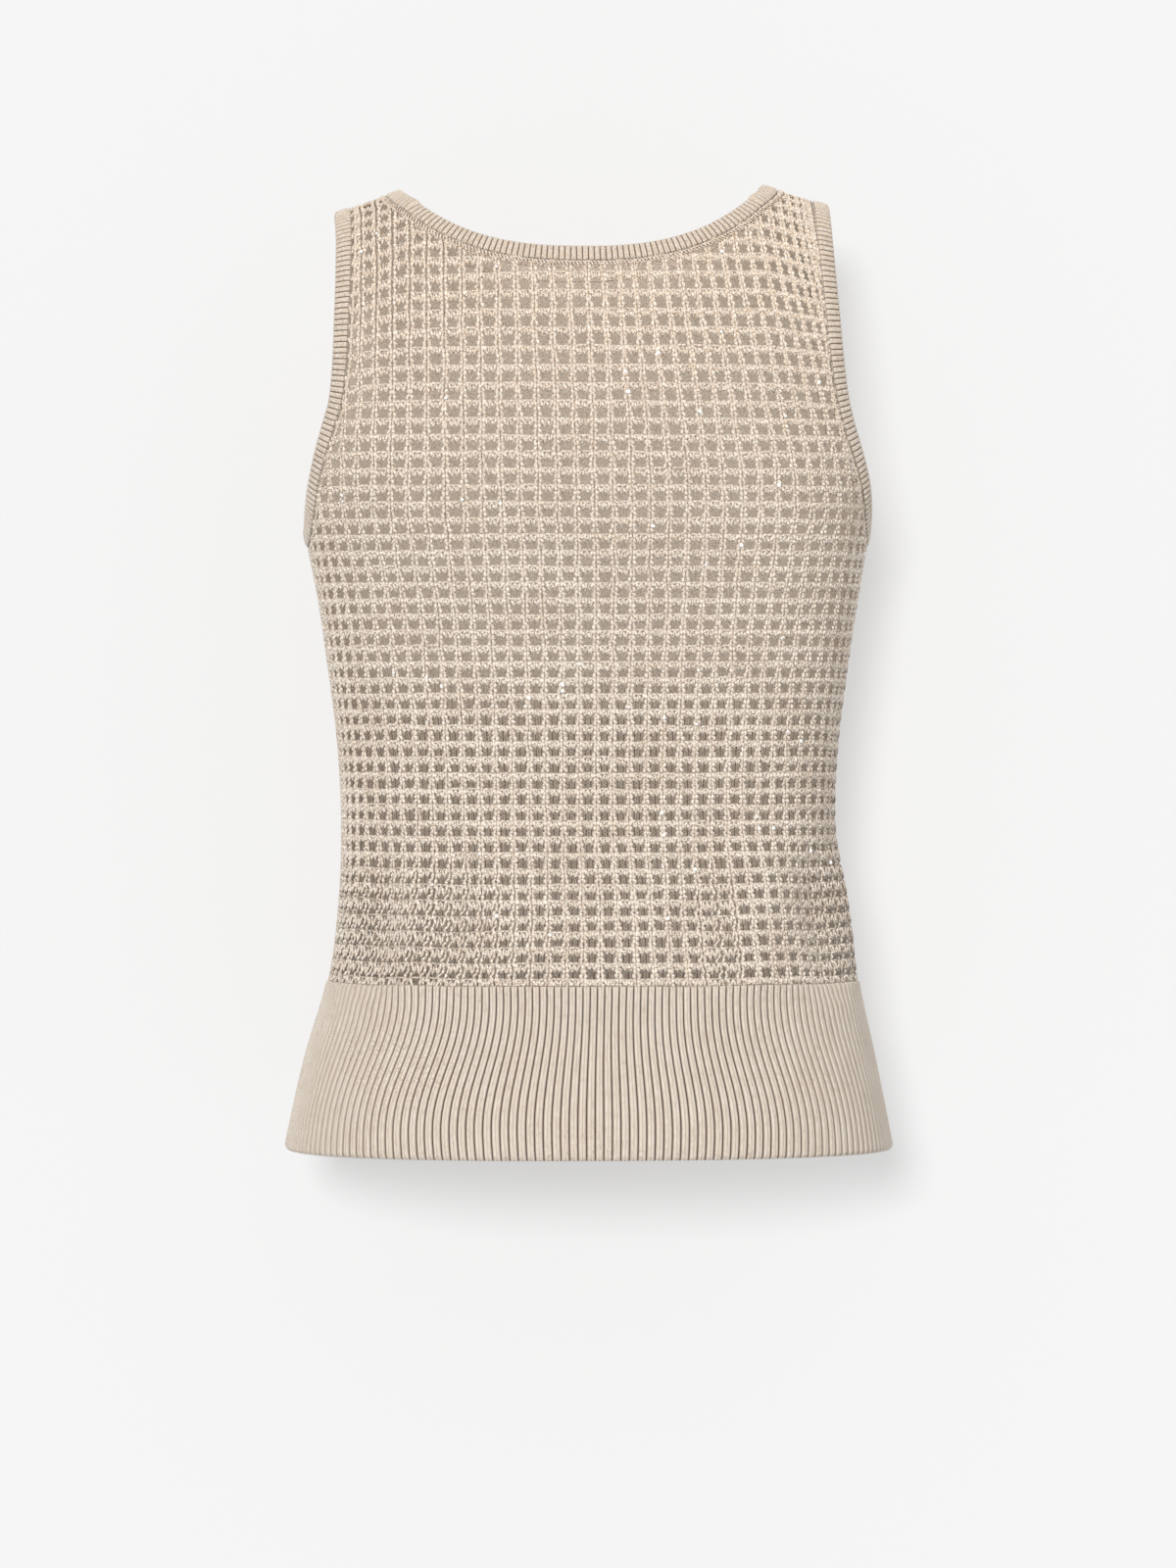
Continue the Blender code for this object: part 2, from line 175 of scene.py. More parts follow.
def section_value(column, drop):
    """A column of the section table at any drop, on a smooth curve through its rows."""
    drops, values = SECTIONS[:, DROP], SECTIONS[:, column]
    slopes = np.gradient(values, drops)
    low = np.clip(np.searchsorted(drops, drop) - 1, 0, len(drops) - 2)
    step = drops[low + 1] - drops[low]
    share = (drop - drops[low]) / step
    rise = values[low + 1] - values[low]
    start, end = slopes[low] * step - rise, rise - slopes[low + 1] * step
    return values[low] + share * rise + share * (1 - share) * ((1 - share) * start + share * end)


def smooth(share):
    share = np.clip(share, 0, 1)
    return share * share * (3 - 2 * share)


def unit(vectors):
    return vectors / np.linalg.norm(vectors, axis=-1, keepdims=True)


def drop_of(travel):
    return np.where(
        travel < QUARTER, DOME_DROP * (1 - np.cos(travel)), DOME_DROP * (1 + travel - QUARTER)
    )


def travel_of(drop):
    """The travel to a drop that is below the dome."""
    return QUARTER + drop / DOME_DROP - 1


def width_at(side, drop):
    return np.where(side < 0, section_value(WIDE_LEFT, drop), section_value(WIDE_RIGHT, drop))


def angle_at(x, travel):
    across = np.clip(np.abs(x) / width_at(x, drop_of(travel)), 0, 1)
    forward = (1 - across**SQUARENESS) ** (1 / SQUARENESS)
    return np.sign(x) * np.arctan2(across, forward)


def ridge(x):
    """The height of the top of the shoulders, carried on smoothly between the neck's two sides."""
    out = np.clip((np.abs(x) - RIDGE_NECK_X) / (RIDGE_ARM_X - RIDGE_NECK_X), 0, RIDGE_REACH)
    left = RIDGE_NECK_Z[LEFT] + out * (RIDGE_ARM_Z[LEFT] - RIDGE_NECK_Z[LEFT])
    right = RIDGE_NECK_Z[RIGHT] + out * (RIDGE_ARM_Z[RIGHT] - RIDGE_NECK_Z[RIGHT])
    middle = (RIDGE_NECK_Z[LEFT] + RIDGE_NECK_Z[RIGHT]) / 2
    return middle + smooth(np.abs(x) / RIDGE_NECK_X) * (np.where(x < 0, left, right) - middle)


def form(face, angle, travel):
    drop = drop_of(travel)
    across, forward = np.sin(angle), np.cos(angle)
    reach = (np.abs(across) ** SQUARENESS + np.abs(forward) ** SQUARENESS) ** (-1 / SQUARENESS)
    depth = section_value(DEEP_BACK if face == BACK else DEEP_FRONT, drop)
    x = width_at(angle, drop) * across * reach
    y = face * depth * np.sin(np.minimum(travel, QUARTER)) * forward * reach
    z = ridge(x) * (1 - smooth(drop / RIDGE_FADE)) - drop
    x = x + YOKE_LEAN * (1 - smooth(drop / YOKE_FADE))
    return np.stack([x, y, z], axis=-1)


def outward(face, angle, travel):
    across = form(face, angle + SMALL_TURN, travel) - form(face, angle - SMALL_TURN, travel)
    down = form(face, angle, travel + SMALL_TURN) - form(face, angle, travel - SMALL_TURN)
    return unit(face * np.cross(across, down))


def fold_height(face, angle, travel):
    drop, total = drop_of(travel), np.zeros(np.shape(angle))
    for on_face, top_angle, top, bottom_angle, bottom, half_width, height in FOLDS:
        if on_face == face:
            along = (drop - top) / (bottom - top)
            middle = np.radians(top_angle + np.clip(along, 0, 1) * (bottom_angle - top_angle))
            beside = (angle - middle) * FOLD_RADIUS / half_width
            length = np.sin(np.pi * np.clip(along, 0, 1)) ** FOLD_FULLNESS
            total = total + height * np.exp(-(beside**2)) * length
    return total


def cloth(face, angle, travel, height=0.0):
    lift = fold_height(face, angle, travel) + height
    return form(face, angle, travel) + lift[..., None] * outward(face, angle, travel)


def lengths_along(points):
    """How far along a line each of its points lies."""
    return np.concatenate([[0], np.cumsum(np.linalg.norm(np.diff(points, axis=0), axis=1))])


def evenly(face, angles, travels, steps):
    """The same line of places, divided into steps of equal length along the cloth."""
    along = lengths_along(form(face, angles, travels))
    at = np.linspace(0, along[-1], steps + 1)
    return np.interp(at, along, angles), np.interp(at, along, travels)


def corner_curve(turn, squareness):
    across, down = np.sin(turn), np.cos(turn)
    reach = (np.abs(across) ** squareness + np.abs(down) ** squareness) ** (-1 / squareness)
    return across * reach, down * reach


def neck_line(face, steps):
    """The seam of the neck band on one face, from the left shoulder to the right."""
    turn = np.linspace(-QUARTER, QUARTER, FINE_STEPS)
    across, down = corner_curve(turn, NECK_SQUARENESS)
    low = math.acos(1 - NECK_DROP[face] / DOME_DROP)
    travels = np.maximum(low * down, SEAM_TURN)
    return evenly(face, angle_at(NECK_X * across, travels), travels, steps)


def arm_line(face, side, steps):
    """The seam of an armhole band on one face, from the side seam up to the shoulder."""
    turn = np.linspace(0, QUARTER, FINE_STEPS)
    across, down = corner_curve(turn, ARM_SQUARENESS)
    travels = np.maximum(travel_of(ARM_DROP) * down, SEAM_TURN)
    top_angle = angle_at(ARM_X, SEAM_TURN)
    scoop = ARM_SCOOP[face][side] * np.sin(np.pi * down) ** 2
    angles = QUARTER - (QUARTER - top_angle) * across - scoop
    return evenly(face, side * np.minimum(angles, QUARTER - SEAM_TURN), travels, steps)


def shoulder_line(side, steps):
    x = np.linspace(ARM_X, NECK_X, steps + 1) * side
    travels = np.full(len(x), SEAM_TURN)
    return angle_at(x, travels), travels


def girth_line(drop, face, steps):
    edge = QUARTER - SEAM_TURN
    angles = np.linspace(-edge, edge, FINE_STEPS)
    return evenly(face, angles, np.full(FINE_STEPS, travel_of(drop)), steps)


def side_line(side, steps):
    travels = np.linspace(travel_of(ARM_DROP), travel_of(NET_DROP), steps + 1)
    return np.full(len(travels), side * (QUARTER - SEAM_TURN)), travels


def joined(lines):
    kept = [line if i == 0 else tuple(part[1:] for part in line) for i, line in enumerate(lines)]
    return tuple(np.concatenate(parts) for parts in zip(*kept))


def backwards(line):
    return tuple(part[::-1] for part in line)


def net_outline(face, arm=60, shoulder=6, neck=90, side=60, foot=90):
    """A panel's closed outline: armhole, shoulder, neck, shoulder, armhole, side, foot and side."""
    line = joined(
        [
            arm_line(face, LEFT, arm),
            shoulder_line(LEFT, shoulder),
            neck_line(face, neck),
            backwards(shoulder_line(RIGHT, shoulder)),
            backwards(arm_line(face, RIGHT, arm)),
            side_line(RIGHT, side),
            backwards(girth_line(NET_DROP, face, foot)),
            backwards(side_line(LEFT, side)),
        ]
    )
    return np.stack(line, axis=1)[:-1]


def within(outline, places):
    """Whether each place lies inside an outline, by the edges that a ray from it crosses."""
    crossings = np.zeros(len(places), int)
    for (x1, y1), (x2, y2) in zip(outline, np.roll(outline, -1, axis=0)):
        spans = (y1 > places[:, 1]) != (y2 > places[:, 1])
        if y1 != y2:
            crossing = x1 + (places[:, 1] - y1) / (y2 - y1) * (x2 - x1)
            crossings += spans & (places[:, 0] < crossing)
    return crossings % 2 == 1


class Knitting:
    """The columns and rows of one face's knitting, laid out on the form."""

    LEVELS, TURNS, MERIDIAN = 240, 401, 0.87

    def __init__(self, face):
        self.face = face
        self.travels = np.linspace(SEAM_TURN, travel_of(NET_DROP), self.LEVELS)
        points = form(face, np.full(self.LEVELS, self.MERIDIAN), self.travels)
        lengths = np.linalg.norm(np.diff(points, axis=0), axis=1)
        heights = np.interp(drop_of(self.travels), ROW_DROPS, ROW_HEIGHTS)
        rows = np.concatenate([[0], np.cumsum(lengths / ((heights[1:] + heights[:-1]) / 2))])
        neck = np.interp(NECK_DROP[BACK], drop_of(self.travels), rows)
        self.rows = rows * BACK_ROWS_AT_CENTRE / (rows[-1] - neck)
        self.last = self.rows[-1]
        edge = QUARTER - SEAM_TURN
        turns = np.linspace(-edge, edge, self.TURNS)
        self.angles = np.empty((self.LEVELS, len(TABLE_COLUMNS)))
        for level, travel in enumerate(self.travels):
            along = lengths_along(form(face, turns, np.full(self.TURNS, travel)))
            share = (along / along[-1] * 2 - 1) * HALF_COLUMNS
            self.angles[level] = np.interp(TABLE_COLUMNS, share, turns)
        self.lean()

    def lean(self):
        """Above the chest a column keeps its distance from the middle, drawn in towards the neck."""
        drops = drop_of(self.travels)
        start = np.searchsorted(drops, LEAN_DROP)
        travels = np.full(len(TABLE_COLUMNS), self.travels[start])
        places = form(self.face, self.angles[start], travels)[:, 0]
        side = np.where(TABLE_COLUMNS < 0, STRAP_LEAN[LEFT], STRAP_LEAN[RIGHT])
        for level in range(start):
            drawn = side + (1 - side) * smooth(drops[level] / LEAN_DROP)
            self.angles[level] = angle_at(places * drawn, self.travels[level])

    def level_of(self, travel):
        return (travel - self.travels[0]) / (self.travels[1] - self.travels[0])

    def row_at(self, drop):
        return np.interp(drop, drop_of(self.travels), self.rows)

    def place(self, column, row):
        """The angle and travel of a place in the knitting."""
        travel = np.interp(row, self.rows, self.travels)
        level = np.clip(self.level_of(travel), 0, self.LEVELS - 1 - ALMOST)
        across = (column + HALF_COLUMNS) * PER_COLUMN
        across = np.clip(across, 0, len(TABLE_COLUMNS) - 1 - ALMOST)
        y, x = level.astype(int), across.astype(int)
        v, u = level - y, across - x
        table = self.angles
        top = table[y, x] * (1 - u) + table[y, x + 1] * u
        bottom = table[y + 1, x] * (1 - u) + table[y + 1, x + 1] * u
        return top * (1 - v) + bottom * v, travel

    def columns_of(self, angles, travels):
        """The columns and rows of places on the form."""
        rows = np.interp(travels, self.travels, self.rows)
        level = np.clip(self.level_of(travels), 0, self.LEVELS - 1).round().astype(int)
        found = [np.interp(a, self.angles[k], TABLE_COLUMNS) for a, k in zip(angles, level)]
        return np.array(found), rows


YARN_FLATNESS = 0.72  # how thick a yarn lies, as a share of its width
YARN_SIDES = 4
SHARP = 1.1  # the angle between faces in radians from which a knitted wall's edge is sharp
FEWEST_POINTS = 3  # a stretch of yarn with no more than these isn't laid


class Mesh:
    """Points and faces gathered from many parts, with a pair of pattern coordinates at each point."""

    def __init__(self):
        self.points, self.faces, self.marks, self.count = [], [], [], 0

    def add(self, points, faces, marks=None):
        self.points.append(points)
        self.faces.extend(tuple(int(i) + self.count for i in face) for face in faces)
        self.marks.append(np.zeros((len(points), 2)) if marks is None else marks)
        self.count += len(points)

    def tube(self, points, normals, radii, shade=1.0):
        """A closed, slightly flat yarn along points, with normals that say which way is up."""
        sides = YARN_SIDES
        along = unit(np.gradient(points, axis=0))
        beside = unit(np.cross(along, normals))
        up = np.cross(beside, along)
        turns = np.arange(sides) / sides * TURN
        radii = np.broadcast_to(radii, len(points))[:, None, None]
        ring = YARN_FLATNESS * np.cos(turns)[None, :, None] * up[:, None]
        ring = ring + np.sin(turns)[None, :, None] * beside[:, None]
        rings = points[:, None] + radii * ring
        n = len(points)
        first = (np.arange(n - 1)[:, None] * sides + np.arange(sides)[None]).ravel()
        step = np.tile(np.where(np.arange(sides) == sides - 1, 1 - sides, 1), n - 1)
        faces = np.stack([first, first + step, first + sides + step, first + sides], axis=1)
        caps = [tuple(range(sides - 1, -1, -1)), tuple(range((n - 1) * sides, n * sides))]
        # The first mark is the side of the yarn scaled by shade: the material paints shade on the
        # sides by it and slants the stitches by it
        beside = np.repeat(np.broadcast_to(shade, n), sides) * np.tile(np.sin(turns), n)
        millimetres = np.repeat(lengths_along(points), sides) * 1000
        marks = np.stack([beside, millimetres], axis=1)
        self.add(rings.reshape(-1, 3), [*faces.tolist(), *caps], marks)

    def build(self, name, material, sharp=None):
        mesh = bpy.data.meshes.new(name)
        points = np.concatenate(self.points)
        mesh.from_pydata(points.tolist(), [], self.faces)
        marks = np.concatenate(self.marks)
        layer = mesh.uv_layers.new(name="knit")
        corners = np.empty(len(mesh.loops), int)
        mesh.loops.foreach_get("vertex_index", corners)
        layer.uv.foreach_set("vector", marks[corners].astype(np.float32).ravel())
        mesh.shade_smooth()
        if sharp:
            mesh.set_sharp_from_angle(angle=sharp)
        piece = bpy.data.objects.new(name, mesh)
        bpy.context.scene.collection.objects.link(piece)
        mesh.materials.append(material)
        return piece


def runs(inside):
    """Stretches of places inside, each carried on by one place at either end."""
    edges = np.flatnonzero(np.diff(np.concatenate([[0], inside.astype(int), [0]])))
    for start, end in zip(edges[::2], edges[1::2]):
        start, end = max(start - 1, 0), min(end + 1, len(inside))
        if end - start > FEWEST_POINTS:
            yield slice(start, end)


def waver(count, spacing, amount):
    """A smooth random wander."""
    knots = rng.normal(0, amount, int(count / spacing) + 3)
    at = np.arange(count) / spacing
    low = at.astype(int)
    share = smooth(at - low)
    return knots[low] * (1 - share) + knots[low + 1] * share


def lay_yarn(mesh, knitting, outline, column, row, height, radius, shade):
    """A yarn along places in the knitting, kept to the inside of the panel."""
    angles, travels = knitting.place(column, row)
    inside = within(outline, np.stack([angles, travels], axis=1))
    for kept in runs(inside):
        a, t = angles[kept], travels[kept]
        points = cloth(knitting.face, a, t, height[kept])
        mesh.tube(points, outward(knitting.face, a, t), radius[kept], shade[kept])


def closed_share(column, drop):
    """How far the holes are pressed shut at places in the knitting."""
    share = np.zeros(len(column))
    for middle, wide, at, tall, amount in CLOSED_UP:
        away = ((column - middle) / wide) ** 4 + ((drop - at) / tall) ** 4
        share = np.maximum(share, amount * np.exp(-away))
    return share


# The yarns of a bar from one cord to the next: how far across, how far down the row, and the
# height in tenths of a millimetre
BAR_TOP = np.array([(0.0, 0.13, -9), (0.25, 0.09, -2), (0.5, 0.11, -1), (0.75, 0.09, -2)])
BAR_TEETH = np.array(
    [
        (0.00, 0.20, -9),
        (0.13, 0.11, 0),
        (0.21, 0.13, 5),
        (0.28, 0.31, 6),
        (0.35, 0.51, 7),
        (0.43, 0.30, 7),
        (0.50, 0.11, 6),
        (0.57, 0.30, 7),
        (0.65, 0.51, 7),
        (0.72, 0.31, 6),
        (0.79, 0.13, 5),
        (0.87, 0.11, 0),
    ]
)


def net_piece(name, knitting, outline, top, bottom, material):
    """The net between two rows: two yarns up each cord, a level yarn and a toothed one in each bar."""
    mesh = Mesh()
    steps = round((bottom - top) * CORD_POINTS)
    row = np.linspace(top, bottom, steps + 1)
    drops = drop_of(np.interp(row, knitting.rows, knitting.travels))
    in_row = (row - knitting.last) % 1
    opening = np.exp(-(((in_row - OPENING_AT + 0.5) % 1 - 0.5) ** 2) / OPENING_SPREAD)
    swell = np.cos(TURN * in_row * STITCHES_PER_ROW)
    for cord in range(-HALF_COLUMNS, HALF_COLUMNS + 1):
        middle = cord + waver(len(row), CORD_POINTS, 0.03)
        shut = closed_share(np.full(len(row), float(cord)), drops)
        pressed = shut * (drops > ZIGZAG_BELOW)
        middle = middle + PRESSED_ZIGZAG * pressed * np.cos(TURN * in_row)
        for side in (-1, 1):
            spread = CORD_HALF + CORD_OPENING * opening + waver(len(row), 4, 0.014)
            column = middle + side * (spread + PRESSED_PART * shut + STITCH_SWAY * swell)
            rise = np.cos(TURN * (in_row * STITCHES_PER_ROW - 0.2 + 0.1 * side))
            height = CORD_LIFT * (1 + rise) - PRESSED_SINK * pressed
            uneven = waver(len(row), 2, 0.07)
            radius = CORD_YARN * (1 + STITCH_SWELL * swell - PRESSED_THIN * pressed + uneven)
            # painted shade on both sides of a cord's yarns, its sign mirroring the stitches' slant
            shade = side * np.full(len(row), CORD_SHADE)
            lay_yarn(mesh, knitting, outline, column, row, height, radius, shade)
    start = knitting.last + BARS_AT
    first, last = math.ceil(top - start - 0.01), math.ceil(bottom - start - 0.01)
    cells = 2 * HALF_COLUMNS
    for bar in range(first, last):
        for path, yarn in ((BAR_TOP, BAR_TOP_YARN), (BAR_TEETH, BAR_TOOTH_YARN)):
            column = (np.arange(cells)[:, None] - HALF_COLUMNS + path[None, :, 0]).ravel()
            column = np.append(column, HALF_COLUMNS)
            dip = np.append(np.tile(path[:, 1], cells), path[0, 1])
            high = np.append(np.tile(path[:, 2], cells), path[0, 2]) * 1e-4
            drop = drop_of(np.interp(start + bar + dip, knitting.rows, knitting.travels))
            shut = closed_share(column, drop)
            scale = 1 + waver(len(column), 2, 0.08)
            drift = waver(len(column), len(path) * 2, 0.03)
            if path is BAR_TEETH:
                dip = dip + TOOTH_GROWTH * shut * (dip - BAR_TOP[1, 1])
            else:
                high = high - TOP_SINK * shut
            row = start + bar + dip * scale + drift
            column = column + waver(len(column), 2, 0.012)
            swelled = TOOTH_SWELL if path is BAR_TEETH else TOP_THIN
            radii = yarn * (1 + waver(len(column), 3, 0.09) + swelled * shut)
            # painted shade at a bar yarn's sides, more where the holes are pressed shut
            shade = BAR_SHADE + PRESSED_SHADE * shut
            lay_yarn(mesh, knitting, outline, column, row, high, radii, shade)
    return mesh.build(name, material)


PANEL_SPACING = np.array([0.36, 0.45])  # between a plain panel's points, in net columns and rows
PANEL_STITCHES = np.array([3.0, 5.0])  # of its stitches to a net column and row
EDGE_CLEARANCE = 0.6  # of those spacings, between a panel's edge and the points within it
INSIDE_ONLY, SAME_POINT = 1, 1e-6  # for the triangulation


def inner_places(rim):
    """Staggered rows of places one apart within a rim, and off its corners."""
    half = HALF_COLUMNS / PANEL_SPACING[0]
    places = []
    for k, row in enumerate(np.arange(0.5, rim[:, 1].max(), 1.0)):
        across = np.arange(-half + k % 2 / 2, half, 1.0)
        places.append(np.stack([across, np.full(len(across), row)], axis=1))
    places = np.concatenate(places)
    places = places[within(rim, places)]
    clear = np.ones(len(places), bool)
    for corner in rim:
        clear &= np.linalg.norm(places - corner, axis=1) > EDGE_CLEARANCE
    return places[clear]


def plain_panel(name, knitting, outline, material):
    """A panel of plain knitting, a thin closed wall over triangles that fill its outline."""
    rim = np.stack(knitting.columns_of(outline[:, 0], outline[:, 1]), axis=1) / PANEL_SPACING
    inner = inner_places(rim)
    places = np.concatenate([rim, inner])
    edge = list(range(len(rim)))
    _, _, triangles, origins, _, _ = delaunay_2d_cdt(
        [tuple(p) for p in places], [], [edge], INSIDE_ONLY, SAME_POINT
    )
    angles, travels = knitting.place(*(inner * PANEL_SPACING).T)
    angles = np.concatenate([outline[:, 0], angles])
    travels = np.concatenate([outline[:, 1], travels])
    marks = places * PANEL_SPACING * PANEL_STITCHES
    mesh = Mesh()
    outer = cloth(knitting.face, angles, travels, np.full(len(angles), NET_WALL / 2))
    inside = cloth(knitting.face, angles, travels, np.full(len(angles), -NET_WALL / 2))
    faces, count = [], len(places)
    for triangle in triangles:
        a, b, c = (origins[corner][0] for corner in triangle)
        faces += [(a, b, c), (c + count, b + count, a + count)]
    for here, there in zip(edge, edge[1:] + edge[:1]):
        faces.append((here, there, there + count, here + count))
    marks = np.concatenate([marks, marks - [0, 2 * INSIDE]])
    mesh.add(np.concatenate([outer, inside]), faces, marks)
    return mesh.build(name, material, SHARP)


def grid_faces(rows, columns, closed_rows=False, closed_columns=False):
    """Quads over a grid of points that is numbered row by row."""
    r = np.arange(rows if closed_rows else rows - 1)
    c = np.arange(columns if closed_columns else columns - 1)
    r, c = (part.ravel() for part in np.meshgrid(r, c, indexing="ij"))
    r2, c2 = (r + 1) % rows, (c + 1) % columns
    return np.stack(
        [r * columns + c, r * columns + c2, r2 * columns + c2, r2 * columns + c], axis=1
    ).tolist()


RIB_SAMPLES = 8
RIB_LEVELS = 14
RIB_END = 0.006  # from the hem's rounded ends to its even levels
RIB_ROUND = 3.2
RIB_SWAY = {LEFT: 0.024, RIGHT: -0.020}  # how far the ribs snake on each side, in radians
RIB_RELIEF = 0.0012
RIB_GROOVE = -0.0008
STITCH = 0.00116  # the height of one


def swayed_line(drop, face, steps):
    """A line round the hem whose places snake to and fro on the way down, as the ribs do."""
    angles, travels = girth_line(drop, face, steps)
    down = (drop - NET_DROP) / (HEM_DROP - NET_DROP)
    side = np.where(angles < 0, RIB_SWAY[LEFT], RIB_SWAY[RIGHT])
    sway = side * math.sin(TURN * down) * np.sin(math.pi * np.abs(angles) / np.abs(angles[-1]))
    return angles + sway, travels


def hem_piece(name, face, material):
    """The ribbed hem of one face: rounded ribs with narrow grooves, over a plain inside."""
    mesh = Mesh()
    across = HEM_RIBS * RIB_SAMPLES
    top, low = NET_DROP + SEAM_GAP, HEM_DROP
    # drop, share of the relief: the ribs start and end rounded
    ends = [(0.0, 0.0), (0.0005, 0.45), (0.0012, 0.8), (0.0022, 1.0)]
    levels = [(top + d, s) for d, s in ends]
    levels += [(d, 1.0) for d in np.linspace(top + RIB_END, low - RIB_END, RIB_LEVELS)]
    levels += [(low - d, s) for d, s in ends[::-1]]
    ribs = np.arange(across + 1) / RIB_SAMPLES
    beside = np.abs(2 * (ribs % 1) - 1)
    beside[[0, -1]] = 1
    crown = np.sqrt(1 - np.clip(beside, 0, 1) ** RIB_ROUND)
    outer = [
        (drop, RIB_WALL / 2 + RIB_GROOVE + (RIB_RELIEF - RIB_GROOVE) * crown * share)
        for drop, share in levels
    ]
    inner = [(drop, np.full(across + 1, -RIB_WALL / 2)) for drop, _ in levels[::-1]]
    points, marks = [], []
    for drop, height in outer + inner:
        angles, travels = swayed_line(drop, face, across)
        points.append(cloth(face, angles, travels, height))
        marks.append(np.stack([ribs, np.full(len(ribs), (drop - top) / STITCH)], axis=1))
    rings = len(points)
    faces = grid_faces(rings, across + 1, closed_rows=True)
    for end in (0, across):
        ring = [k * (across + 1) + end for k in range(rings)]
        half = rings // 2
        for k in range(half - 1):
            quad = (ring[k], ring[k + 1], ring[rings - 2 - k], ring[rings - 1 - k])
            faces.append(quad if end else quad[::-1])
    if face == BACK:
        faces = [face_points[::-1] for face_points in faces]
    mesh.add(np.concatenate(points), faces, np.concatenate(marks))
    return mesh.build(name, material, SHARP)


BAND_SECTION = (
    # how far past the net's edge and how high above its middle surface in millimetres, rib share
    (0.3, -1.0, 0.0),
    (0.3, 0.4, 0.0),
    (0.8, 1.3, 0.4),
    (1.8, 1.75, 1.0),
    (4.0, 1.9, 1.0),
    (6.5, 1.9, 1.0),
    (8.6, 1.7, 1.0),
    (9.6, 1.1, 0.8),
    (10.0, 0.3, 0.5),
    (9.6, -0.6, 0.3),
    (8.8, -1.0, 0.0),
    (4.5, -1.0, 0.0),
)
BAND_RIB_SAMPLES = 6
BAND_RELIEF = 0.0010
BAND_ROUND = 2.4
BAND_MIDDLE = 0.55  # the share of a rib's height that lies below the band's own surface
INSIDE = 100  # taken from the marks of an inner side, which takes painted inner-side shade and no painted groove shade


def closed_edge(lines):
    """The points and normals of an edge that closes on itself over lines of places."""
    points = np.concatenate([cloth(face, *line)[:-1] for face, line in lines])
    normals = np.concatenate([outward(face, *line)[:-1] for face, line in lines])
    return points, normals


def band_frame(points, normals):
    """The way past the net's edge at each point of it."""
    along = np.roll(points, -1, axis=0) - np.roll(points, 1, axis=0)
    return unit(np.cross(along, normals))


def band_piece(name, points, normals, material):
    """A ribbed band that carries on past a closed edge of the net."""
    beyond = band_frame(points, normals)
    count = len(points)
    ribs = np.arange(count) / BAND_RIB_SAMPLES
    crown = np.sqrt(np.clip(1 - np.abs(2 * (ribs % 1) - 1) ** BAND_ROUND, 0, 1)) - BAND_MIDDLE
    rings, marks = [], []
    for past, height, share in BAND_SECTION:
        rise = height / 1000 + BAND_RELIEF * share * crown
        rings.append(points + past / 1000 * beyond + rise[:, None] * normals)
        marks.append(np.stack([ribs, np.full(count, past if share else past - INSIDE)], axis=1))
    mesh = Mesh()
    faces = grid_faces(len(rings), count, closed_rows=True, closed_columns=True)
    faces = [face[::-1] for face in faces]
    mesh.add(np.concatenate(rings), faces, np.concatenate(marks))
    return mesh.build(name, material, SHARP)


CHAIN_POINTS = 6  # to a period
CHAIN_DEPTH = 0.6  # of the sway, how far its yarns pass over and under each other


def seam_chain(mesh, points, normals, closed, period, sway, yarn, shade=1.0):
    """Two fine yarns that cross over and over along a seam."""
    if closed:
        points, normals = (np.concatenate([each, each[:1]]) for each in (points, normals))
    lengths = lengths_along(points)
    count = int(lengths[-1] / period * CHAIN_POINTS)
    at = np.linspace(0, lengths[-1], count)
    line, up = (
        np.stack([np.interp(at, lengths, each[:, k]) for k in range(3)], axis=1)
        for each in (points, normals)
    )
    up = unit(up)
    beside = unit(np.cross(np.gradient(line, axis=0), up))
    for shift in (0.0, 0.5):
        phase = TURN * (at / period + shift)
        strand = line + sway * np.sin(phase)[:, None] * beside
        strand = strand + CHAIN_DEPTH * sway * np.cos(phase)[:, None] * up
        mesh.tube(strand, up, yarn, shade)


def knit_nodes(name, colour, roughness, sheen):
    material = bpy.data.materials.new(name)
    material.use_nodes = True
    tree = material.node_tree
    shader = tree.nodes["Principled BSDF"]
    shader.inputs["Base Color"].default_value = (*colour, 1)
    shader.inputs["Roughness"].default_value = roughness
    shader.inputs["Sheen Weight"].default_value = sheen
    shader.inputs["Sheen Roughness"].default_value = 0.5
    shader.inputs["Specular IOR Level"].default_value = 0.25
    return material, tree, shader


def maths(tree, kind, *values):
    node = tree.nodes.new("ShaderNodeMath")
    node.operation = kind
    for socket, value in zip(node.inputs, values):
        if hasattr(value, "default_value") or hasattr(value, "links"):
            tree.links.new(value, socket)
        else:
            socket.default_value = value
    return node.outputs[0]


def times(tree, first, second):
    return maths(tree, "MULTIPLY", first, second)


def plus(tree, first, second):
    return maths(tree, "ADD", first, second)


def noise(tree, coordinates, scale, detail):
    node = tree.nodes.new("ShaderNodeTexNoise")
    node.inputs["Scale"].default_value = scale
    node.inputs["Detail"].default_value = detail
    tree.links.new(coordinates, node.inputs["Vector"])
    return node.outputs["Fac"]


def mixed(tree, factor, first, second):
    node = tree.nodes.new("ShaderNodeMix")
    node.data_type = "RGBA"
    tree.links.new(factor, node.inputs["Factor"])
    for name, value in (("A", first), ("B", second)):
        socket = next(s for s in node.inputs if s.name == name and s.type == "RGBA")
        if isinstance(value, tuple):
            socket.default_value = (*value, 1)
        else:
            tree.links.new(value, socket)
    return next(s for s in node.outputs if s.type == "RGBA")


def spread(tree, value, low, high):
    node = tree.nodes.new("ShaderNodeMapRange")
    tree.links.new(value, node.inputs["Value"])
    node.inputs["From Min"].default_value = low
    node.inputs["From Max"].default_value = high
    return node.outputs["Result"]


def bumped(tree, shader, height):
    node = tree.nodes.new("ShaderNodeBump")
    node.inputs["Distance"].default_value = BUMP_DEPTH
    node.inputs["Strength"].default_value = BUMP_STRENGTH
    tree.links.new(height, node.inputs["Height"])
    tree.links.new(node.outputs["Normal"], shader.inputs["Normal"])
